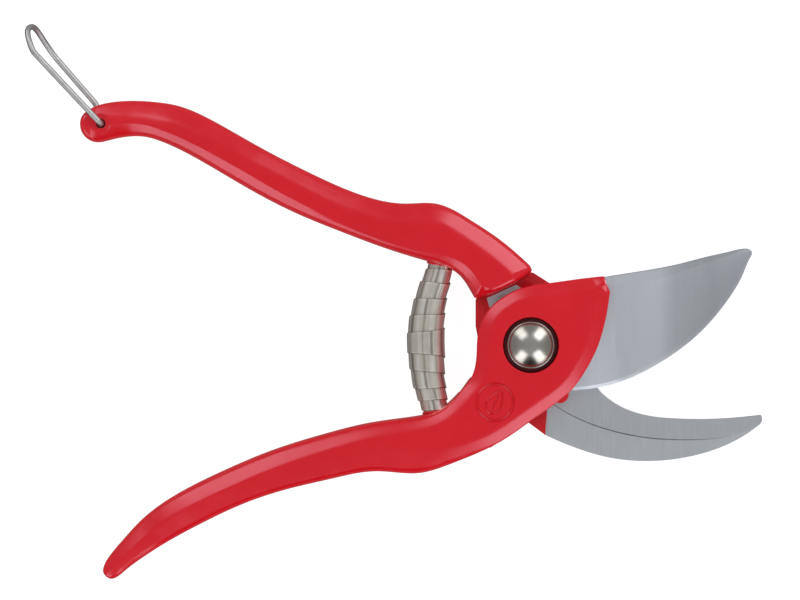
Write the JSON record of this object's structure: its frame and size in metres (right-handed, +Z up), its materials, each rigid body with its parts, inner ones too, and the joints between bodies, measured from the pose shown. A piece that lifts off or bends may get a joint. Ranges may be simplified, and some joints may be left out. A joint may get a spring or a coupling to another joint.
{
  "type": "pruning shears",
  "caption": "Bypass pruning shears lying open on their back, with red plastic grips, a steel cutting blade and hook, a strip spring between the handles and a wire bail.",
  "frame": {"origin": "on the pivot axis, in the plane that the shears rest on, at the nut end of the pivot bolt", "axes": "+Z up along the pivot towards the bolt head; +X towards the jaws; +Y towards the upper handle and the spine of the blade"},
  "size_m": [0.2143, 0.1615, 0.0184],
  "materials": {
    "red_coated_metal": "gloss red coating",
    "red_grip": "smooth glossy plastic",
    "hook_steel": "ground, satin",
    "blade_steel": "hollow ground, satin",
    "fastener_steel": "plain",
    "nickel": "nickel plated, polished",
    "spring_steel": "rolled strip, bright",
    "bronze": "sintered",
    "wire_steel": "drawn wire"
  },
  "bodies": {
    "hook_half": {"upper_lever": "red_coated_metal", "upper_grip": "red_grip", "hook_blade": "hook_steel", "hook_rivets": "fastener_steel", "pivot_bolt": "nickel", "head_washer": "fastener_steel", "nut_washer": "fastener_steel", "pivot_nut": "nickel", "lock_plate": "fastener_steel", "lock_screw": "fastener_steel", "upper_spring_peg": "fastener_steel", "volute_spring": "spring_steel"},
    "blade_half": {"lower_lever": "red_coated_metal", "lower_grip": "red_grip", "cutting_blade": "blade_steel", "blade_rivets": "fastener_steel", "blade_dowel": "fastener_steel", "pivot_bush": "bronze", "lower_spring_peg": "fastener_steel"},
    "bail": {"wire_bail": "wire_steel"}
  },
  "joints": [
    {"name": "blade_pivot", "type": "hinge", "parent": "hook_half", "child": "blade_half", "pos_m": [0, 0, 0], "axis": [0, 0, -1], "range_deg": [0, 43.5], "stiffness_Nm_per_rad": 2, "springref_deg": -20.05, "deforming": ["volute_spring"]},
    {"name": "bail_swing", "type": "hinge", "parent": "hook_half", "child": "bail", "pos_m": [-0.1246, 0.0642, 0], "axis": [0, 0, 1], "range_deg": [-100, 118]}
  ]
}
